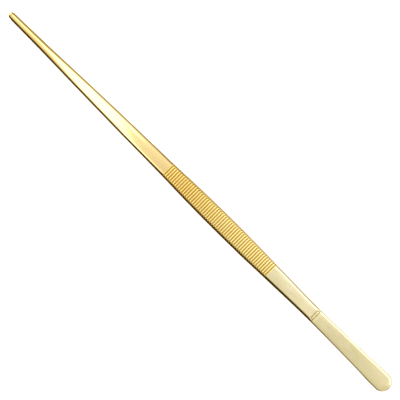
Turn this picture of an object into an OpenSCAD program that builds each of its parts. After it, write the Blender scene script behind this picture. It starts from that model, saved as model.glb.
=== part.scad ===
// Long straight tweezers: two sprung steel halves, welded to each other at the heel.
// The tool frame has x from the heel's rounded end to the tips, y across, and z up from
// the plane in which the two halves meet. The part stands in its own frame with the origin
// under the middle of its box, lying on the flat outer face of the lower arm.

/* [Length] */
// Length from the heel's rounded end to the tips
total_l = 300; // [290:1:310]
// Length over which the two halves are welded face to face
weld_l = 16; // [12:1:20]
// Distance from the heel's end to the middle of the shoulder bead
shoulder_x = 58.9; // [57:0.1:61]
// Distance from the heel's end to the first groove of the grip
grip_x = 94.9; // [92:0.1:97]
// Length of the ribbed grip
grip_l = 79.8; // [72:0.1:84]
// Length of the serrated jaw face at the tip
jaw_l = 20; // [16:1:24]

/* [Width] */
// Width of the round heel
heel_w = 11; // [10:0.1:12]
// Width at the shoulder, where the spring leaf ends
waist_w = 8.7; // [8:0.1:9.4]
// Greatest width of the grip
grip_w = 11.2; // [10.8:0.1:12]
// Width just in front of the grip
neck_w = 9.3; // [9:0.1:10]
// Width at the tip
tip_w = 3.9; // [3.7:0.1:4.6]

/* [Thickness] */
// Thickness of the spring leaf
leaf_t = 1.4; // [1.2:0.1:1.6]
// Thickness of the arm at the shoulder
shank_t = 2.1; // [2:0.1:2.4]
// Greatest thickness of the arm, in the grip
grip_t = 2.9; // [2.6:0.1:3.2]
// Thickness of the arm behind the jaw
jaw_t = 2.4; // [2.2:0.1:2.6]
// Step from the leaf's outer face up to the arm's
step_h = 0.5; // [0.3:0.1:0.7]

/* [Bow] */
// Steepest slope of the bowed arm, as rise over run
bow_slope = 0.145; // [0.13:0.005:0.16]
// Distance from the heel's end to where the outer face turns flat
belly_x = 132; // [128:1:138]

/* [Grip ribs] */
// Number of ribs
rib_count = 52; // [40:1:56]
// Depth of the grooves between the ribs
groove_d = 0.34; // [0.2:0.02:0.4]
// Radius of the grooves
groove_r = 0.45; // [0.4:0.05:0.5]

/* [Jaw serrations] */
// Spacing of the serrations
tooth_pitch = 1; // [0.9:0.05:1.2]
// Depth of the serrations
tooth_d = 0.35; // [0.2:0.05:0.4]

/* [Spring] */
// Distance from the heel's end to the line about which the leaf bends
hinge_x = 36; // [34:1:40]

/* [Hidden] */

// The two halves part on a round face about the bending line.
knuckle_r = 1.2;
knuckle_gap = 0.02;
// Gap left between the crests of the two jaws when they are closed.
jaw_gap = 0.02;
// Weld nuggets sit in a row inside the heel.
nugget_r = 1.5;
nugget_h = 0.8;
nugget_x = [5.5, 11];
// The shoulder carries a low bead across the arm, which is a round bar sunk in the outer face.
bead_r = 0.6;
bead_h = 0.16;
// A shallow round channel lies in front of it, this far from the bead's middle.
channel_r = 0.38;
channel_d = 0.28;
channel_gap = 0.98;
// Both stop this far inside the flat of the outer face.
bead_inset = 0.6;
// Behind the bead the arm's face drops steeply over the first run, and eases into the leaf over the second.
step_run = 0.4;
ease_run = 2.6;
ease_h = 0.14;
// The tip's nose is rounded over this length, by a curve of this power.
nose_l = 2.2;
nose_power = 2.5;
// Width left at the nose's end, as a part of the tip's width.
nose_least = 0.35;
// Drop of the outer face over the nose, as a part of the thickness.
nose_drop = 0.6;
// Half-width of the short flat at the heel's end.
heel_flat = 1.2;
// The leaf is faired into the arm over this length.
fairing_l = 2;
// Bevel along the inner edges, and the vertical land left at the tip.
edge = 0.2;
// Steps in each rounded long edge.
edge_steps = 4;
// Least half-width of the flat on the outer face, where the section turns half-round.
ridge = 0.05;

heel_r = heel_w / 2;
bow_x = 54;
rib_pitch = grip_l / rib_count;
jaw_x = total_l - jaw_l;
grip_mid = grip_x + grip_l / 2;
neck_x = grip_x + grip_l;
step_top = shoulder_x - bead_r;
step_foot = step_top - ease_run;

// Half-widths of the outline along the length.
half_width = [
    [6, heel_w / 2 - 0.04], [12, heel_w / 2 - 0.06], [20, heel_w / 2 - 0.47],
    [shoulder_x - 1, waist_w / 2], [grip_x - 2, 4.97], [grip_x + 17, grip_w / 2 - 0.12],
    [grip_mid, grip_w / 2], [grip_mid + 21, grip_w / 2 - 0.3], [neck_x + 1, neck_w / 2],
    [216, 3.9], [246, 3.16], [272, 2.42], [total_l - nose_l, tip_w / 2]
];
// Width and depth of the rounding along the outer face's long edges.
round_width = [
    [0, 2.4], [shoulder_x, 1.8], [grip_x, 1.9], [neck_x, 2], [250, 2.1], [276, 2.5], [total_l, 2.6]
];
round_depth = [
    [0, 0.65], [shoulder_x - 2, 0.7], [shoulder_x + 3, 1.65], [grip_x - 3, 1.75], [grip_x + 3, 2],
    [grip_mid, 2.1], [neck_x, 1.3], [190, 1], [216, 0.9], [250, 0.95], [276, 1.15], [total_l, 1.1]
];
// Thickness of the arm in front of the shoulder.
arm_thickness = [
    [shoulder_x + 1, shank_t], [grip_x, grip_t - 0.2], [grip_mid, grip_t],
    [neck_x, grip_t - 0.15], [jaw_x, jaw_t], [total_l, jaw_t - 0.05]
];

// Smooth curve through a table of [position, value] rows.
function row_at(table, x, i = 0) =
    i >= len(table) - 2 || x < table[i + 1][0] ? i : row_at(table, x, i + 1);
function tangent(table, i) =
    let (a = table[max(i - 1, 0)], b = table[min(i + 1, len(table) - 1)])
    (b[1] - a[1]) / (b[0] - a[0]);
function curve(table, x) =
    let (
        i = row_at(table, x),
        h = table[i + 1][0] - table[i][0],
        u = min(max((x - table[i][0]) / h, 0), 1)
    )
    (2 * u ^ 3 - 3 * u ^ 2 + 1) * table[i][1] + (u ^ 3 - 2 * u ^ 2 + u) * h * tangent(table, i)
    + (3 * u ^ 2 - 2 * u ^ 3) * table[i + 1][1] + (u ^ 3 - u ^ 2) * h * tangent(table, i + 1);

// Height of the bowed strip: flat in the weld, curving out along the leaf, then back to flat.
function bow(x) =
    x < weld_l ? 0
    : x < bow_x ? bow_slope * (x - weld_l) ^ 2 / (2 * (bow_x - weld_l))
    : bow_slope * (bow_x - weld_l) / 2
        + bow_slope * ((belly_x - bow_x) ^ 2 - max(belly_x - x, 0) ^ 2) / (2 * (belly_x - bow_x));

// 0 on the leaf and 1 on the arm, across the shoulder.
function on_arm(x) = min(max((x - step_foot) / fairing_l, 0), 1);
function step(x) =
    (step_h - ease_h) * min(max((x - step_top + step_run) / step_run, 0), 1) ^ 2
    + ease_h * min(max((x - step_foot) / ease_run, 0), 1) ^ 2;
function outer_z(x) = bow(x) + leaf_t + step(x);
function arm_inner_z(x) = outer_z(x) - curve(arm_thickness, x);
function plain_inner_z(x) = bow(x) * (1 - on_arm(x)) + arm_inner_z(x) * on_arm(x);
// The jaw face is ground so that it lies level once the arm has turned by close_angle.
close_slope = (plain_inner_z(jaw_x) - jaw_gap / 2) / (jaw_x - hinge_x);
close_angle = atan(close_slope);
function jaw_z(x) = (x - hinge_x) * close_slope + jaw_gap / 2;
function inner_z(x) = max(plain_inner_z(x), x < jaw_x ? 0 : jaw_z(x));

hinge_z = bow(hinge_x) + leaf_t / 2;
mid_z = outer_z(total_l);

// The outline narrows to a full round at the heel and to a blunt nose at the tip.
nose_x = total_l - nose_l;
function nose(x) =
    x < nose_x ? 1
    : max((1 - ((x - nose_x) / nose_l) ^ nose_power) ^ (1 / nose_power), nose_least);
function heel_chord(x, r) = sqrt(max(r ^ 2 - (heel_r - x) ^ 2, 0));
function half_w(x) =
    x < heel_r ? max(min(heel_chord(x, heel_r), curve(half_width, x)), heel_flat)
    : curve(half_width, x) * nose(x);
function flat_w(x) =
    let (w = curve(round_width, x))
    x < heel_r ? max(min(heel_chord(x, heel_r - w), half_w(x) - w), ridge)
    : max(half_w(x) - w, ridge);
function end_drop(x) =
    let (w = curve(round_width, x))
    x < w ? sqrt(1 - ((w - x) / w) ^ 2) : 1;

// One closed section of the upper half: inner face, rounded side, outer face, rounded side.
function section(x) =
    let (
        w = half_w(x),
        f = min(flat_w(x), w - 0.1),
        low = inner_z(x),
        high = outer_z(x),
        depth = min(curve(round_depth, x), high - low - 2 * edge) * nose(x),
        heel_fall = curve(round_depth, x) * (1 - end_drop(x)),
        nose_fall = (high - low) * nose_drop * (1 - nose(x)),
        top = high - heel_fall - nose_fall,
        land = top - depth * end_drop(x),
        right = [for (i = [0 : edge_steps]) let (a = 90 * (1 - i / edge_steps))
            [f + (w - f) * sin(a), land + (top - land) * cos(a)]]
    )
    concat(
        [[x, w - edge, low], [x, w, low + edge]],
        [for (p = right) [x, p[0], p[1]]],
        [for (i = [edge_steps : -1 : 0]) [x, -right[i][0], right[i][1]]],
        [[x, -w, low + edge], [x, edge - w, low]]
    );

// Closed skin over the sections at the given positions.
module skin(stations) {
    n = len(section(stations[0]));
    rings = len(stations);
    sides = [for (i = [0 : rings - 2]) for (j = [0 : n - 1])
        let (a = i * n + j, b = i * n + (j + 1) % n, c = b + n, d = a + n)
        each [[a, d, c], [a, c, b]]];
    first = [for (j = [1 : n - 2]) [0, j, j + 1]];
    last = [for (j = [1 : n - 2]) [0, j + 1, j] + [1, 1, 1] * (rings - 1) * n];
    polyhedron(points = [for (x = stations) each section(x)], faces = concat(first, sides, last));
}

heel_stations = concat(
    [0], [for (a = [30 : 15 : 75]) heel_r * (1 - cos(a))], [heel_r, 8, 12, weld_l],
    [for (x = [weld_l + 4 : 4 : hinge_x - 1]) x], [hinge_x]
);
arm_stations = concat(
    [hinge_x - knuckle_r - 0.1], [for (x = [hinge_x + 3 : 4 : bow_x + 2]) x],
    [for (u = [0 : 0.35 : 0.7]) step_foot + u * (ease_run - step_run)],
    [for (u = [0 : 0.25 : 1]) step_top - step_run * (1 - u)], [shoulder_x + 0.9],
    [for (x = [shoulder_x + 3 : 6 : belly_x - 2]) x], [belly_x],
    [for (x = [belly_x + 12 : 12 : jaw_x - 14]) x], [jaw_x - 6, jaw_x],
    [jaw_x + jaw_l / 2], [for (a = [0 : 22.5 : 90]) nose_x + nose_l * sin(a)]
);

module across(x, z, r) {
    translate([x, 0, z]) rotate([90, 0, 0]) cylinder(r = r, h = grip_w + 4, center = true, $fn = 48);
}

module nuggets() {
    for (x = nugget_x)
        translate([x, 0, 0]) cylinder(r = nugget_r, h = nugget_h, center = true, $fn = 48);
}

// Welded end and rear part of the spring leaf of one half.
module heel_half() {
    difference() {
        skin(heel_stations);
        across(hinge_x, hinge_z, knuckle_r + knuckle_gap);
        nuggets();
    }
}

module grip_grooves() {
    for (i = [0 : rib_count])
        let (x = grip_x + i * rib_pitch)
        across(x, outer_z(x) + groove_r - groove_d, groove_r);
}

// A round bar across the arm with ball ends, which stops short of the rounded edges.
// Its lowest point lies at depth under the outer face.
module short_bar(x, r, depth) {
    l = flat_w(x) - bead_inset;
    translate([x, 0, outer_z(x) + r - depth]) {
        rotate([90, 0, 0]) cylinder(r = r, h = 2 * l, center = true, $fn = 32);
        for (side = [-1, 1])
            translate([0, side * l, 0]) sphere(r = r, $fn = 32);
    }
}

module serrations(shift) {
    side = tooth_d * sqrt(2);
    for (i = [0 : floor((jaw_l - nose_l) / tooth_pitch) - 1])
        let (x = nose_x - (i + shift) * tooth_pitch)
        translate([x, 0, jaw_z(x)]) rotate([0, 45, 0]) cube([side, grip_w, side], center = true);
}

// Front part of one half: leaf, shoulder, ribbed grip and serrated jaw.
module arm_half(shift) {
    short_bar(shoulder_x, bead_r, 2 * bead_r - bead_h);
    difference() {
        skin(arm_stations);
        short_bar(shoulder_x + channel_gap, channel_r, channel_d);
        grip_grooves();
        serrations(shift);
        difference() {
            translate([hinge_x - 2 * knuckle_r, -grip_w, hinge_z - 2 * knuckle_r])
                cube([2 * knuckle_r, 2 * grip_w, 4 * knuckle_r]);
            across(hinge_x, hinge_z, knuckle_r);
        }
    }
}

// From the tool frame to the part's own frame.
module placed() {
    translate([-total_l / 2, 0, mid_z]) children();
}

module upper_heel() {
    color("#d8cd94") placed() heel_half();
}

module lower_heel() {
    color("#d8cd94") placed() mirror([0, 0, 1]) heel_half();
}

module weld_nuggets() {
    color("#9a9484") placed() nuggets();
}

module upper_arm() {
    color("#e8c868") placed() arm_half(0);
}

module lower_arm() {
    color("#e8c868") placed() mirror([0, 0, 1]) arm_half(0.5);
}

echo(mid_z = mid_z, hinge = [hinge_x - total_l / 2, 0, mid_z + hinge_z], close_angle = close_angle);

upper_heel();
lower_heel();
weld_nuggets();
upper_arm();
lower_arm();
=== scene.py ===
import math

import bpy
from mathutils import Matrix, Quaternion, Vector


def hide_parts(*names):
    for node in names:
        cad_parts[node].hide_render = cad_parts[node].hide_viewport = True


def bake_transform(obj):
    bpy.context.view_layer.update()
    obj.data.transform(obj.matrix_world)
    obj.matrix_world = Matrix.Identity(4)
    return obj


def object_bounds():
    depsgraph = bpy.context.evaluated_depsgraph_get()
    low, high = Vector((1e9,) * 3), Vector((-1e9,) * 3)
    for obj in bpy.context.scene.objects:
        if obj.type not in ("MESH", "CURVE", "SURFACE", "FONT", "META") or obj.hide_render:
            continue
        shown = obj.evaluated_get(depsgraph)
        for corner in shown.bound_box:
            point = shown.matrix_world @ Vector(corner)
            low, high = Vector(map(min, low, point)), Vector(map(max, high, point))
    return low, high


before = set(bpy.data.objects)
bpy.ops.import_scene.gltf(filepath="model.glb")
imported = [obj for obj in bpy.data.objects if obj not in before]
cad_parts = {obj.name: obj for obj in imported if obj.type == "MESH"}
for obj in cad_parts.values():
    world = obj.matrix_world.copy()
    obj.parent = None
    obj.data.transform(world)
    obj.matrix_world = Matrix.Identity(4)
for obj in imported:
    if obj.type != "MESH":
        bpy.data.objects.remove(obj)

CAD_BOX = [list(v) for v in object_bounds()]

# ---------------------------------------------------------------------------
# Sizes of one half, in millimetres. The tool frame has x from the heel's
# rounded end to the tips, y across, and z up from the plane where the two
# halves meet.
# ---------------------------------------------------------------------------

MM = 0.001

# Length of the tool, and of its weld and its serrated jaw face.
TOTAL, WELD, JAW_L = 300.0, 16.0, 20.0
# Middle of the shoulder bead, and the line about which the leaf bends.
SHOULDER, HINGE_X = 58.9, 36.0
# First groove of the grip, the grip's length and its number of ribs.
GRIP_X, GRIP_L, RIBS = 94.9, 79.8, 52
# Widths of the heel, the shoulder, the grip, the neck in front of it and the tip.
HEEL_W, WAIST_W, GRIP_W, NECK_W, TIP_W = 11.0, 8.7, 11.2, 9.3, 3.9
# Thicknesses of the leaf, and of the arm at the shoulder, the grip and the jaw.
LEAF_T, SHANK_T, GRIP_T, JAW_T = 1.4, 2.1, 2.9, 2.4
# Steepest slope of the bowed arm, where it is reached, and where the face turns flat.
BOW_SLOPE, BOW_X, BELLY_X = 0.145, 54.0, 132.0
# Depth and radius of the grooves, and the fillet along their rims.
GROOVE_D, GROOVE_R, GROOVE_FILLET = 0.34, 0.45, 0.10
# Spacing and depth of the serrations, and the gap between the closed jaws.
TOOTH_PITCH, TOOTH_D, JAW_GAP = 1.0, 0.35, 0.02
# The bead is a round bar sunk in the face, and stops short of the rounded edges.
BEAD_R, BEAD_H, BEAD_INSET = 0.6, 0.16, 0.6
# A shallow round channel lies in front of the bead and fades in over a short run.
CHANNEL_R, CHANNEL_D, CHANNEL_GAP, CHANNEL_RUN = 0.38, 0.28, 0.98, 0.5
# Height of the step behind the bead: steep over the first run, easing into the leaf over the second.
STEP, STEP_RUN, EASE_RUN, EASE_H = 0.5, 0.4, 2.6, 0.14
# The leaf is faired into the arm over this length.
FAIRING = 2.0
# The nose's length, the power of its curve, the width left at its end and the drop of its outer face.
NOSE_L, NOSE_POWER, NOSE_LEAST, NOSE_DROP = 2.2, 2.5, 0.35, 0.6
# Half-width of the short flat at the heel's end.
HEEL_FLAT = 1.2
# Radius of the inner edges, and the least half-width of the outer flat and of the rounding beside it.
EDGE, RIDGE, LEAST_ROUND = 0.2, 0.05, 0.1

HEEL_R = HEEL_W / 2
PITCH = GRIP_L / RIBS
JAW_X = TOTAL - JAW_L
NOSE_X = TOTAL - NOSE_L
GRIP_MID = GRIP_X + GRIP_L / 2
NECK_X = GRIP_X + GRIP_L
STEP_TOP = SHOULDER - BEAD_R
STEP_FOOT = STEP_TOP - EASE_RUN
RIBS_FROM = GRIP_X - PITCH / 2
RIBS_TO = NECK_X + PITCH / 2

# Half-widths of the outline along the length.
HALF_WIDTH = [
    (6, HEEL_W / 2 - 0.04), (12, HEEL_W / 2 - 0.06), (20, HEEL_W / 2 - 0.47),
    (SHOULDER - 1, WAIST_W / 2), (GRIP_X - 2, 4.97), (GRIP_X + 17, GRIP_W / 2 - 0.12),
    (GRIP_MID, GRIP_W / 2), (GRIP_MID + 21, GRIP_W / 2 - 0.3), (NECK_X + 1, NECK_W / 2),
    (216, 3.9), (246, 3.16), (272, 2.42), (NOSE_X, TIP_W / 2),
]
# Width and depth of the rounding along the outer face's long edges.
ROUND_WIDTH = [
    (0, 2.4), (SHOULDER, 1.8), (GRIP_X, 1.9), (NECK_X, 2.0), (250, 2.1), (276, 2.5), (TOTAL, 2.6),
]
ROUND_DEPTH = [
    (0, 0.65), (SHOULDER - 2, 0.7), (SHOULDER + 3, 1.65), (GRIP_X - 3, 1.75), (GRIP_X + 3, 2.0),
    (GRIP_MID, 2.1), (NECK_X, 1.3), (190, 1.0), (216, 0.9), (250, 0.95), (276, 1.15), (TOTAL, 1.1),
]
# Crown of the outer face: how far it falls from its middle to the start of the rounding.
CROWN = [
    (8, 0.05), (58, 0.05), (88, 0.05), (GRIP_X, 0.1), (GRIP_MID, 0.17), (NECK_X, 0.12),
    (188, 0.07), (205, 0.05), (225, 0.0), (TOTAL, 0.0),
]
# Thickness of the arm in front of the shoulder.
THICKNESS = [
    (SHOULDER + 1, SHANK_T), (GRIP_X, GRIP_T - 0.2), (GRIP_MID, GRIP_T),
    (NECK_X, GRIP_T - 0.15), (JAW_X, JAW_T), (TOTAL, JAW_T - 0.05),
]


def clamp(u):
    return min(max(u, 0.0), 1.0)


def curve(table, x):
    """Smooth curve through (position, value) rows."""
    i = 0
    while i < len(table) - 2 and x >= table[i + 1][0]:
        i += 1

    def tangent(k):
        a, b = table[max(k - 1, 0)], table[min(k + 1, len(table) - 1)]
        return (b[1] - a[1]) / (b[0] - a[0])

    h = table[i + 1][0] - table[i][0]
    u = clamp((x - table[i][0]) / h)
    return ((2 * u**3 - 3 * u**2 + 1) * table[i][1] + (u**3 - 2 * u**2 + u) * h * tangent(i)
            + (3 * u**2 - 2 * u**3) * table[i + 1][1] + (u**3 - u**2) * h * tangent(i + 1))


def smooth(a, b, x):
    """0 before a and 1 after b, with a smooth rise between them."""
    u = clamp((x - a) / (b - a))
    return u * u * (3 - 2 * u)


def soft_min(a, b, k):
    """The lesser of a and b, rounded off where they differ by less than k."""
    h = max(k - abs(a - b), 0.0) / k
    return min(a, b) - h * h * k / 4


def bow(x):
    """Height of the bowed strip: flat in the weld, curving out along the leaf, then back to flat."""
    if x < WELD:
        return 0.0
    if x < BOW_X:
        return BOW_SLOPE * (x - WELD) ** 2 / (2 * (BOW_X - WELD))
    rise = BOW_SLOPE * (BOW_X - WELD) / 2
    left = max(BELLY_X - x, 0.0)
    return rise + BOW_SLOPE * ((BELLY_X - BOW_X) ** 2 - left**2) / (2 * (BELLY_X - BOW_X))


def face_z(x):
    """Height of the outer face, with the step behind the bead."""
    steep = clamp((x - STEP_TOP + STEP_RUN) / STEP_RUN) ** 2
    ease = clamp((x - STEP_FOOT) / EASE_RUN) ** 2
    return bow(x) + LEAF_T + (STEP - EASE_H) * steep + EASE_H * ease


def plain_inner(x):
    """Height of the inner face before the jaw is ground."""
    on_arm = clamp((x - STEP_FOOT) / FAIRING)
    arm = face_z(x) - curve(THICKNESS, x)
    return bow(x) * (1 - on_arm) + arm * on_arm


# Slope at which the jaw face is ground, so that it lies level once the jaws have closed.
CLOSE = (plain_inner(JAW_X) - JAW_GAP / 2) / (JAW_X - HINGE_X)
# Height of the meeting plane over the surface that the tool lies on.
MID_Z = face_z(TOTAL)


def inner_z(x):
    """Height of the inner face, with the ground jaw."""
    floor = 0.0 if x < JAW_X else (x - HINGE_X) * CLOSE + JAW_GAP / 2
    return max(plain_inner(x), floor)


def nose(x):
    """Share of the width that is left at x, where the tip is rounded."""
    if x < NOSE_X:
        return 1.0
    u = min((x - NOSE_X) / NOSE_L, 1.0)
    return max((1 - u**NOSE_POWER) ** (1 / NOSE_POWER), NOSE_LEAST)


def heel_chord(x, r):
    """Half-width at x of a circle of radius r about the middle of the round heel."""
    return math.sqrt(max(r * r - (HEEL_R - x) ** 2, 0.0))


def half_w(x):
    """Half-width of the outline."""
    if x < HEEL_R:
        return max(min(heel_chord(x, HEEL_R), curve(HALF_WIDTH, x)), HEEL_FLAT)
    return curve(HALF_WIDTH, x) * nose(x)


def flat_w(x, w):
    """Half-width of the flat part of the outer face, between the rounded edges."""
    inset = curve(ROUND_WIDTH, x)
    if x < HEEL_R:
        return max(min(heel_chord(x, HEEL_R - inset), w - inset), RIDGE)
    return max(w - inset, RIDGE)


def end_drop(x):
    """0 at the heel's end and 1 past its rounding."""
    w = curve(ROUND_WIDTH, x)
    return math.sqrt(max(1 - ((w - x) / w) ** 2, 0.0)) if x < w else 1.0


def groove_z(x):
    """Height of the grooves' floor over x, or None between the grooves and outside the grip."""
    i = round((x - GRIP_X) / PITCH)
    if i < 0 or i > RIBS:
        return None
    centre = GRIP_X + i * PITCH
    d = abs(x - centre)
    if d >= GROOVE_R:
        return None
    return face_z(centre) + GROOVE_R - GROOVE_D - math.sqrt(GROOVE_R**2 - d * d)


def shoulder(x, y, flat):
    """Height of the shoulder's bead over the face, and of the channel round its front and ends."""
    q = math.hypot(x - SHOULDER, max(abs(y) - (flat - BEAD_INSET), 0.0))
    if q > CHANNEL_GAP + CHANNEL_R:
        return 0.0
    if q < BEAD_R:
        return max(math.sqrt(BEAD_R**2 - q * q) - BEAD_R + BEAD_H, 0.0)
    d = q - CHANNEL_GAP
    lift = CHANNEL_R - CHANNEL_D
    cut = max(math.sqrt(max(CHANNEL_R**2 - d * d, 0.0)) - lift, 0.0)
    return -cut * smooth(STEP_TOP, STEP_TOP + CHANNEL_RUN, x)


def tooth_cut(x, shift):
    """Depth of the serration at x on the jaw's inner face. shift is a part of the teeth's spacing."""
    n = math.floor((JAW_L - NOSE_L) / TOOTH_PITCH)
    i = round((NOSE_X - x) / TOOTH_PITCH - shift)
    if i < 0 or i >= n:
        return 0.0
    return max(TOOTH_D - abs(x - (NOSE_X - (i + shift) * TOOTH_PITCH)), 0.0)


# Steps round a section: across half the inner face, round its edge, up the side, round the outer
# edge and across half the outer face, where they crowd towards that edge by this power.
IN_STEPS, EDGE_STEPS, WALL_STEPS, ROUND_STEPS, TOP_STEPS = 4, 3, 2, 10, 13
TOP_CROWDING = 1.5


def half_ring(x, shift):
    """Points (y, z) from the middle of the inner face round one side to the middle of the outer face."""
    w = half_w(x)
    flat = min(flat_w(x, w), w - LEAST_ROUND)
    low, high = inner_z(x), face_z(x)
    round_depth, end, tip = curve(ROUND_DEPTH, x), end_drop(x), nose(x)
    depth = min(round_depth, high - low - 2 * EDGE) * tip
    top = high - round_depth * (1 - end) - (high - low) * NOSE_DROP * (1 - tip)
    land = top - depth * end
    crown = curve(CROWN, x) * end
    bottom = low + tooth_cut(x, shift)

    inner = [((w - EDGE) * i / IN_STEPS, bottom) for i in range(IN_STEPS)]
    for i in range(EDGE_STEPS + 1):
        a = math.radians(90 * i / EDGE_STEPS)
        inner.append((w - EDGE + EDGE * math.sin(a), bottom + EDGE * (1 - math.cos(a))))

    wall = bottom + EDGE
    outer = [(w, wall + (land - wall) * i / WALL_STEPS) for i in range(1, WALL_STEPS)]
    for i in range(ROUND_STEPS + 1):
        a = math.radians(90 * (1 - i / ROUND_STEPS))
        outer.append((flat + (w - flat) * math.sin(a), land + (top - crown - land) * math.cos(a)))
    for i in range(1, TOP_STEPS + 1):
        u = 1 - (i / TOP_STEPS) ** TOP_CROWDING
        outer.append((flat * u, top - crown * u * u))

    floor = groove_z(x)
    for i, (y, z) in enumerate(outer):
        if floor is not None:
            z = soft_min(z, floor - crown * min(y / flat, 1.0) ** 2, GROOVE_FILLET)
        outer[i] = (y, z + shoulder(x, y, flat))
    return inner + outer


# Spacing of the sections along the leaf, over the bead, along the shank, the neck and the jaw face.
LEAF_STEP, BEAD_STEP, SHANK_STEP, NECK_STEP, JAW_STEP = 0.75, 0.05, 0.9, 1.2, 0.1
# Sections to each rib, and the least distance between two sections.
RIB_SECTIONS, LEAST_STEP = 12, 0.015


def spaced(start, end, step):
    """Positions from start, a step apart, that stop short of end."""
    return [start + i * step for i in range(math.ceil((end - start) / step))]


def stations():
    """Positions of the sections along one half. Each evenly spaced stretch stops short of the next."""
    rear = STEP_TOP - STEP_RUN - 2 * BEAD_STEP
    front = SHOULDER + CHANNEL_GAP + CHANNEL_R + BEAD_STEP
    xs = [HEEL_R * (1 - math.cos(math.radians(a))) for a in range(0, 91, 6)]
    xs += spaced(HEEL_R + LEAF_STEP, rear - 0.2, LEAF_STEP)
    xs += spaced(rear, front, BEAD_STEP)
    xs += spaced(front + 0.4, GRIP_X - 1, SHANK_STEP)
    for i in range(RIBS + 1):
        xs += [GRIP_X + (i + k / RIB_SECTIONS - 0.5) * PITCH for k in range(RIB_SECTIONS)]
    xs += spaced(RIBS_TO, JAW_X - 0.5, NECK_STEP)
    xs += spaced(JAW_X, NOSE_X + 0.55, JAW_STEP)
    xs += [NOSE_X + NOSE_L * math.sin(math.radians(a)) for a in range(20, 91, 7)] + [TOTAL]
    xs = sorted(set(round(x, 4) for x in xs))
    return [x for i, x in enumerate(xs) if i == 0 or x - xs[i - 1] > LEAST_STEP]


# Angle between faces over which an edge is shaded sharp.
SHARP = math.radians(32)


def build_half(name, flip, shift):
    """One half of the tweezers as a closed skin. flip is -1 for the lower half."""
    xs = stations()
    verts, faces = [], []
    for x in xs:
        side = half_ring(x, shift)
        ring = side + [(-y, z) for y, z in reversed(side[1:-1])]
        verts += [Vector((x - TOTAL / 2, y, MID_Z + flip * z)) * MM for y, z in ring]
    n = len(ring)
    for i in range(len(xs) - 1):
        for j in range(n):
            a, b = i * n + j, i * n + (j + 1) % n
            faces.append((a, b, b + n, a + n))
    last = (len(xs) - 1) * n
    faces.append(tuple(reversed(range(n))))
    faces.append(tuple(range(last, last + n)))
    if flip < 0:
        faces = [tuple(reversed(f)) for f in faces]
    me = bpy.data.meshes.new(name)
    me.from_pydata(verts, [], faces)
    me.validate()
    for p in me.polygons:
        p.use_smooth = True
    me.set_sharp_from_angle(angle=SHARP)
    ob = bpy.data.objects.new(name, me)
    bpy.context.scene.collection.objects.link(ob)
    return ob


# ---------------------------------------------------------------------------
# Shader nodes
# ---------------------------------------------------------------------------


class Nodes:
    """Short names for building a tree of shader nodes."""

    def __init__(self, tree):
        self.t = tree

    def put(self, kind, inputs=(), **props):
        node = self.t.nodes.new(kind)
        for key, value in props.items():
            setattr(node, key, value)
        for key, value in dict(inputs).items():
            self.set(node.inputs[key], value)
        return node

    def set(self, socket, value):
        """Links a socket to another, or gives it a number or a colour."""
        if isinstance(value, bpy.types.NodeSocket):
            self.t.links.new(value, socket)
        elif isinstance(value, tuple) and len(socket.default_value) == 4:
            socket.default_value = (*value, 1)
        else:
            socket.default_value = value

    def math(self, op, a, b=0.0):
        return self.put("ShaderNodeMath", {0: a, 1: b}, operation=op).outputs[0]

    def range(self, value, a, b, c, d):
        """The value's stretch from a to b mapped to the stretch from c to d."""
        return self.put("ShaderNodeMapRange", {"Value": value, "From Min": a, "From Max": b,
                                               "To Min": c, "To Max": d}).outputs[0]

    def mix(self, fac, a, b, blend="MIX"):
        node = self.put("ShaderNodeMix", data_type="RGBA", blend_type=blend)
        for key, value in (("Factor", fac), (6, a), (7, b)):
            self.set(node.inputs[key], value)
        return node.outputs[2]

    def times(self, a, b):
        return self.mix(1.0, a, b, "MULTIPLY")


class Finish(Nodes):
    """A material with a Principled shader, over the object's own coordinates."""

    def __init__(self, name):
        self.mat = bpy.data.materials.new(name)
        self.mat.use_nodes = True
        super().__init__(self.mat.node_tree)
        self.bsdf = self.t.nodes["Principled BSDF"]
        self.coord = self.t.nodes.new("ShaderNodeTexCoord").outputs["Object"]

    def axis(self, name):
        return self.put("ShaderNodeSeparateXYZ", {0: self.coord}).outputs[name]

    def off_middle(self):
        """Distance across the tool from its middle, in metres."""
        return self.math("ABSOLUTE", self.axis("Y"))

    def off_axis(self, at):
        """Distance along the tool from a given position, in metres."""
        return self.math("ABSOLUTE", self.math("SUBTRACT", self.axis("X"), at))

    def noise(self, size, detail, rough=0.55):
        """Noise whose grains have the given size along each axis, in millimetres."""
        m = self.put("ShaderNodeMapping", {"Vector": self.coord})
        m.inputs["Scale"].default_value = tuple(1 / (s * MM) for s in size)
        return self.put("ShaderNodeTexNoise", {"Vector": m.outputs[0], "Scale": 1.0, "Detail": detail,
                                               "Roughness": rough}).outputs["Fac"]

    def bump(self, height, strength, distance):
        return self.put("ShaderNodeBump", {"Height": height, "Strength": strength,
                                           "Distance": distance}).outputs[0]

    def metal(self, color, rough, normal, edge):
        """Bare or coated metal, whose reflection takes the edge colour where it is seen at a slant."""
        self.set(self.bsdf.inputs["Base Color"], color)
        self.set(self.bsdf.inputs["Roughness"], rough)
        self.set(self.bsdf.inputs["Normal"], normal)
        self.set(self.bsdf.inputs["Specular Tint"], edge)
        self.bsdf.inputs["Metallic"].default_value = 1.0
        return self.mat


# ---------------------------------------------------------------------------
# Materials. Places along and across the tool are in metres from its middle.
# ---------------------------------------------------------------------------

# Tints of what the steel reflects where it is seen at a slant, and the depth of its grinding lines.
GOLD_EDGE = (0.62, 0.42, 0.14)
SATIN_EDGE = (0.92, 0.88, 0.76)
GRAIN_DEPTH = 0.00002

# The neck carries painted shade, darker up to where the jaw's lit stretch starts, and the tip is yellower.
NECK_SHADE = 0.026, 0.056
TIP_FADE = 0.095, 0.130
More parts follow.
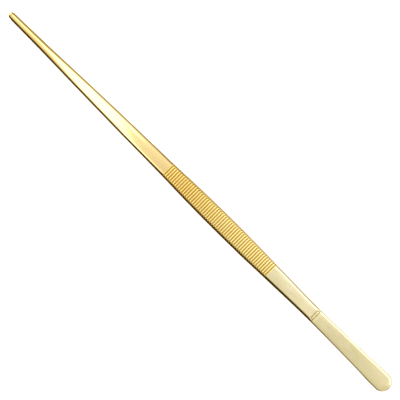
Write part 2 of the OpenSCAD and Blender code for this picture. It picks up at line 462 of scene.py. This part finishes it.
# The grip turns a little more orange towards its front, and its sides are plain.
GRIP_FADE = -0.020, 0.010
GRIP_SIDE = 0.0043, 0.0048
# The tail behind the bead is a shade darker than the shank.
TAIL_FADE = -0.0912, -0.0925
# The bead, how far the painted shade lines lie from it on both sides, and how far across the face these and
# its painted highlight reach.
BEAD_AT = (SHOULDER - TOTAL / 2) * MM
BEAD_SHADE_LINE = 0.0007
BEAD_END = 0.0026, 0.0030
# Half-widths of the bead's painted highlight and of the two painted shade lines, each sharp and faded out.
BEAD_HIGHLIGHT_WIDE, FRONT_SHADE_WIDE, REAR_SHADE_WIDE = (0.0002, 0.0004), (0.00015, 0.0003), (0.00012, 0.00025)
# A heat tint over the rear weld, and its reach along and across the tool.
WELD_TINT_AT = (HEEL_R - TOTAL / 2) * MM
WELD_TINT_LONG = 0.0008, 0.0042
WELD_TINT_WIDE = 0.0008, 0.0034


def polished_gold():
    """Jaw and neck: polished coating with faint lengthwise grinding lines, and painted shade over the neck.
    """
    n = Finish("polished_gold")
    cloud = n.noise((30, 6, 6), 3.0)
    lines = n.noise((14, 0.25, 0.25), 3.0, 0.6)
    color = n.mix(n.range(cloud, 0.3, 0.7, 0, 1), (0.93, 0.71, 0.31), (0.97, 0.77, 0.37))
    # Painted shade: the neck is darkened towards the grip.
    color = n.mix(n.range(n.axis("X"), *NECK_SHADE, 1, 0), color, (0.82, 0.61, 0.27))
    color = n.mix(n.range(n.axis("X"), *TIP_FADE, 0, 1), color, n.times(color, (0.93, 0.90, 0.76)))
    rough = n.math("ADD", n.range(cloud, 0.3, 0.7, 0.08, 0.11), n.range(lines, 0.35, 0.65, -0.02, 0.03))
    return n.metal(color, rough, n.bump(lines, 0.12, GRAIN_DEPTH), GOLD_EDGE)


def ribbed_gold():
    """Grip: deeper yellow, rougher in the grooves, with painted shade in them and a painted highlight on the
    rib tops.
    """
    n = Finish("ribbed_gold")
    # The phase runs from 0 at one groove to 1 at the next. Whole pitches are added to keep it positive.
    start = (TOTAL / 2 - GRIP_X + 100 * PITCH) * MM
    phase = n.math("FRACT", n.math("DIVIDE", n.math("ADD", n.axis("X"), start), PITCH * MM))
    crest = n.range(n.math("ABSOLUTE", n.math("SUBTRACT", phase, 0.5)), 0.14, 0.30, 1.0, 0.0)
    cloud = n.noise((12, 5, 5), 3.0)
    grain = n.noise((0.3, 2.5, 0.3), 3.0)
    # Painted shade in the grooves and a painted highlight on the rib tops, placed by the crest mask.
    groove = n.mix(cloud, (0.57, 0.34, 0.06), (0.64, 0.40, 0.09))
    rib_top_highlight = n.mix(cloud, (0.98, 0.86, 0.36), (0.98, 0.94, 0.45))
    color = n.mix(crest, groove, rib_top_highlight)
    color = n.mix(n.range(n.off_middle(), *GRIP_SIDE, 0, 1), color, (0.94, 0.73, 0.29))
    color = n.mix(n.range(n.axis("X"), *GRIP_FADE, 0, 1), color, n.times(color, (0.96, 0.88, 0.72)))
    rough = n.math("ADD", n.range(crest, 0, 1, 0.34, 0.22), n.range(grain, 0.3, 0.7, -0.03, 0.04))
    return n.metal(color, rough, n.bump(grain, 0.15, GRAIN_DEPTH), GOLD_EDGE)


def satin_gold():
    """Shank and tail: pale satin coating over fine brushing, with a painted highlight along the shoulder's
    bead and painted shade lines on both sides of it.
    """
    n = Finish("satin_gold")
    cloud = n.noise((16, 5, 5), 3.0)
    brushed = n.noise((10, 0.16, 0.16), 4.0, 0.65)
    patch = n.noise((5, 4, 4), 2.0)
    color = n.mix(n.range(cloud, 0.32, 0.68, 0, 1), (0.76, 0.67, 0.39), (0.82, 0.73, 0.45))
    color = n.mix(n.range(n.axis("X"), *TAIL_FADE, 0, 1), color, n.times(color, (0.84, 0.84, 0.78)))
    color = n.mix(n.range(patch, 0.5, 0.75, 0, 0.35), color, (0.76, 0.61, 0.38))
    heated = n.math("MULTIPLY", n.range(n.off_axis(WELD_TINT_AT), *WELD_TINT_LONG, 0.45, 0),
                    n.range(n.off_middle(), *WELD_TINT_WIDE, 1, 0))
    color = n.mix(heated, color, (0.82, 0.66, 0.36))
    # Painted highlight along the bead's crest, and painted shade lines in front of and behind it, over the
    # face's middle.
    across = n.range(n.off_middle(), *BEAD_END, 1, 0)
    crest = n.math("MULTIPLY", across, n.range(n.off_axis(BEAD_AT), *BEAD_HIGHLIGHT_WIDE, 1, 0))
    front = n.math("MULTIPLY", across, n.range(n.off_axis(BEAD_AT + BEAD_SHADE_LINE), *FRONT_SHADE_WIDE, 0.8, 0))
    rear = n.math("MULTIPLY", across, n.range(n.off_axis(BEAD_AT - BEAD_SHADE_LINE), *REAR_SHADE_WIDE, 0.7, 0))
    color = n.mix(crest, color, (1.0, 0.95, 0.56))
    color = n.mix(n.math("MAXIMUM", front, rear), color, (0.50, 0.38, 0.14))
    rough = n.math("ADD", n.range(brushed, 0.3, 0.7, 0.20, 0.28), n.range(cloud, 0.3, 0.7, -0.03, 0.03))
    rough = n.math("SUBTRACT", rough, n.math("MULTIPLY", crest, 0.1))
    return n.metal(color, rough, n.bump(brushed, 0.22, GRAIN_DEPTH), SATIN_EDGE)


def inner_gold():
    """Inner faces: plain satin coating over fine grinding lines."""
    n = Finish("inner_gold")
    cloud = n.noise((16, 5, 5), 3.0)
    lines = n.noise((12, 0.2, 0.2), 3.0, 0.6)
    color = n.mix(n.range(cloud, 0.3, 0.7, 0, 1), (0.84, 0.68, 0.35), (0.89, 0.74, 0.41))
    rough = n.math("ADD", n.range(cloud, 0.3, 0.7, 0.22, 0.28), n.range(lines, 0.35, 0.65, -0.02, 0.03))
    return n.metal(color, rough, n.bump(lines, 0.2, GRAIN_DEPTH), GOLD_EDGE)


def weld_steel():
    """Fused steel inside the heel."""
    n = Finish("fused_steel")
    cloud = n.noise((0.6, 0.6, 0.6), 4.0)
    color = n.mix(cloud, (0.42, 0.40, 0.37), (0.60, 0.57, 0.52))
    rough = n.range(cloud, 0.3, 0.7, 0.35, 0.5)
    return n.metal(color, rough, n.bump(cloud, 0.3, 1.5 * GRAIN_DEPTH), GOLD_EDGE)


def floor_white():
    """Near-white floor that glows a little, so that it stays pale under soft light."""
    n = Finish("floor_white")
    cloud = n.noise((400, 400, 400), 2.0)
    n.set(n.bsdf.inputs["Base Color"], n.mix(cloud, (0.90, 0.90, 0.90), (0.93, 0.93, 0.93)))
    n.set(n.bsdf.inputs["Emission Color"], (1, 1, 1))
    n.bsdf.inputs["Roughness"].default_value = 0.9
    n.bsdf.inputs["Specular IOR Level"].default_value = 0.0
    n.bsdf.inputs["Emission Strength"].default_value = 0.75
    return n.mat


# Places of the finishes in a half's list of materials.
POLISHED, RIBBED, SATIN, INNER = range(4)


def finish_of(polygon, flip):
    """The finish of one face of a half: inner where it faces the other half, else by its place.

    flip is as in build_half."""
    if polygon.normal.z * flip < -0.5:
        return INNER
    x = polygon.center.x / MM + TOTAL / 2
    if x < RIBS_FROM:
        return SATIN
    return RIBBED if x < RIBS_TO else POLISHED


# ---------------------------------------------------------------------------
# The tool
# ---------------------------------------------------------------------------

# Word, flip, shift of the teeth and jaw body of each half. The lower jaw's teeth lie half a pitch off
# the upper jaw's, so that they mesh.
HALVES = [("upper", 1, 0.0, "upper_jaw"), ("lower", -1, 0.5, "lower_jaw")]

finishes = polished_gold(), ribbed_gold(), satin_gold(), inner_gold()
for word, flip, shift, body in HALVES:
    half = build_half(word + "_half", flip, shift)
    for finish in finishes:
        half.data.materials.append(finish)
    for polygon in half.data.polygons:
        polygon.material_index = finish_of(polygon, flip)
    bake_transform(half)
    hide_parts(word + "_heel", word + "_arm")

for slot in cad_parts["weld_nuggets"].material_slots:
    slot.material = weld_steel()

# ---------------------------------------------------------------------------
# Floor and studio
# ---------------------------------------------------------------------------

LOW, HIGH = (Vector(v) for v in CAD_BOX)
# Half the floor's width.
FLOOR = 6.0


def add_floor():
    """Plain floor under the tool. The steel doesn't reflect it, but the surroundings below."""
    corners = [(x * FLOOR, y * FLOOR, LOW.z) for x, y in ((-1, -1), (1, -1), (1, 1), (-1, 1))]
    me = bpy.data.meshes.new("floor")
    me.from_pydata(corners, [], [(0, 1, 2, 3)])
    floor = bpy.data.objects.new("floor", me)
    bpy.context.scene.collection.objects.link(floor)
    floor.data.materials.append(floor_white())
    floor.visible_glossy = False


def area(name, at, aim, size, glow, color=(1, 1, 1), turn=0.0):
    """A soft rectangular light at a point, which faces another and is turned in its own plane.

    glow is how bright its face looks."""
    data = bpy.data.lights.new(name, "AREA")
    data.shape, data.size, data.size_y = "RECTANGLE", size[0], size[1]
    data.energy, data.color = glow * math.pi * size[0] * size[1], color
    ob = bpy.data.objects.new(name, data)
    ob.location = at
    ob.rotation_mode = "QUATERNION"
    facing = (Vector(aim) - Vector(at)).to_track_quat("-Z", "Y")
    ob.rotation_quaternion = facing @ Quaternion((0, 0, 1), math.radians(turn))
    ob.visible_camera = False
    bpy.context.scene.collection.objects.link(ob)


def add_lights():
    """Soft boxes over the jaw, the neck and the tail, and cards beside the shank, the grip and the tip."""
    area("key_over_jaw", (0.103, 0, 0.32), (0.103, 0, 0.02), (0.068, 0.22), 1.55, turn=10)
    area("key_ear", (0.071, -0.062, 0.31), (0.060, -0.005, 0.02), (0.016, 0.07), 1.25)
    area("wing_beside_neck", (0.05, 0.12, 0.3), (0.042, 0.004, 0.02), (0.042, 0.08), 1.22, (0.98, 0.94, 1.02))
    area("strip_over_tip", (0.168, -0.066, 0.32), (0.14, 0, 0.02), (0.05, 0.085), 1.20)
    area("strip_beside_tail", (-0.195, -0.135, 0.23), (-0.17, 0, 0.02), (0.24, 0.18), 1.12, (1.0, 1.0, 1.42))
    area("card_beside_shank", (-0.105, -0.20, 0.07), (-0.08, 0, 0.016), (0.10, 0.13), 0.75, (1.0, 0.98, 1.30))
    area("card_beside_grip", (-0.020, -0.20, 0.09), (-0.02, 0, 0.016), (0.075, 0.17), 0.40, (1.0, 1.0, 1.10))
    area("card_before_tip", (0.25, -0.01, 0.09), (0.15, 0, 0.02), (0.12, 0.12), 1.5, (1.0, 1.0, 0.9))


# Brightness of the surroundings along one component of a direction, which runs from -1 to 1. A
# colour stands where the surroundings are tinted, and a number where they are white.
OLIVE = (0.46, 0.40, 0.20)
DUSK = (0.030, 0.016, 0.002)
NIGHT = (0.06, 0.036, 0.003)
# Across the tool: an open side, a bright top and a dark side.
ACROSS = [
    (-1.0, OLIVE), (-0.72, OLIVE), (-0.60, 0.76), (-0.42, 1.15), (-0.25, 1.30), (-0.08, 1.10), (0.0, 1.04),
    (0.20, (1.04, 1.02, 0.97)), (0.44, (0.98, 0.94, 0.80)), (0.58, (0.60, 0.52, 0.34)),
    (0.70, (0.30, 0.22, 0.09)), (0.80, (0.08, 0.045, 0.008)), (0.90, DUSK), (1.0, DUSK),
]
# Along the tool, high up: dim beyond the heel and dark beyond the tips.
ALONG = [
    (-1.0, (0.30, 0.22, 0.08)), (-0.82, (0.36, 0.28, 0.12)), (-0.66, 1.12), (-0.42, 1.20), (-0.30, 0.88),
    (-0.24, 0.82), (-0.14, 1.04), (0.0, 1.0), (0.22, 1.0), (0.40, (0.60, 0.52, 0.34)),
    (0.60, (0.20, 0.14, 0.05)), (1.0, (0.13, 0.09, 0.03)),
]
# Along the tool, lower down: bright beyond the tips too.
ALONG_LOW = [
    (-1.0, (0.60, 0.50, 0.30)), (-0.66, 1.05), (-0.24, 0.90), (0.0, 1.0), (0.45, 0.95), (1.0, 0.85),
]
# Across the tool, under the horizon.
BELOW = [
    (-1.0, (0.46, 0.38, 0.16)), (-0.4, (0.46, 0.38, 0.16)), (0.1, (0.26, 0.19, 0.05)),
    (0.5, NIGHT), (1.0, NIGHT),
]
# Upward components of a direction between which the high and low values blend, and the horizon's blur.
HIGH_TO_LOW = 0.60, 0.30
HORIZON = -0.12, 0.12


def ramp(n, value, stops):
    """Colour along a direction's component, from one of the lists above."""
    r = n.put("ShaderNodeValToRGB", {0: n.range(value, -1.0, 1.0, 0.0, 1.0)})
    r.color_ramp.interpolation = "EASE"
    for i, (at, glow) in enumerate(stops):
        place = at / 2 + 0.5
        e = r.color_ramp.elements[i] if i < 2 else r.color_ramp.elements.new(place)
        e.position = place
        e.color = (*glow, 1) if isinstance(glow, tuple) else (glow, glow, glow, 1)
    return r.outputs[0]


def add_world():
    """A soft tent that the steel reflects. The camera itself sees plain white."""
    world = bpy.data.worlds.new("studio")
    bpy.context.scene.world = world
    world.use_nodes = True
    n = Nodes(world.node_tree)
    x, y, z = n.put("ShaderNodeSeparateXYZ", {0: n.put("ShaderNodeTexCoord").outputs["Generated"]}).outputs
    low_down = n.range(z, *HIGH_TO_LOW, 0.0, 1.0)
    along = n.mix(low_down, ramp(n, x, ALONG), ramp(n, x, ALONG_LOW))
    sky = n.times(ramp(n, y, ACROSS), along)
    glow = n.mix(n.range(z, *HORIZON, 0.0, 1.0), ramp(n, y, BELOW), sky)
    seen = n.put("ShaderNodeLightPath").outputs["Is Camera Ray"]
    n.set(n.t.nodes["Background"].inputs["Color"], n.mix(seen, glow, (1.0, 1.0, 1.0)))


# ---------------------------------------------------------------------------
# Camera. It looks almost straight down, a little from one side, and is turned
# so that the tool lies across the picture's diagonal.
# ---------------------------------------------------------------------------

# Width of the view at the tool's height, and the camera's distance from there.
VIEW_W, DISTANCE = 0.22413, 1.6
# The camera's turn about the upright, and its lean away from it.
TURN, LEAN = math.radians(224.66), math.radians(-0.8)
# The point aimed at, and how far the camera then slides to its right and upwards.
AIM = Vector((0, 0.000084, HIGH.z))
SLIDE_RIGHT, SLIDE_UP = 0.000056, 0.00084


def add_camera():
    facing = Matrix.Rotation(LEAN, 3, "X") @ Matrix.Rotation(TURN, 3, "Z")
    cam = bpy.data.cameras.new("camera")
    cam.sensor_width = 36.0
    cam.lens = cam.sensor_width * DISTANCE / VIEW_W
    camera = bpy.data.objects.new("camera", cam)
    at = AIM + facing @ Vector((SLIDE_RIGHT, SLIDE_UP, DISTANCE))
    camera.matrix_world = Matrix.Translation(at) @ facing.to_4x4()
    bpy.context.scene.collection.objects.link(camera)
    bpy.context.scene.camera = camera
    bpy.context.scene.view_settings.view_transform = "Standard"


add_floor()
add_lights()
add_world()
add_camera()
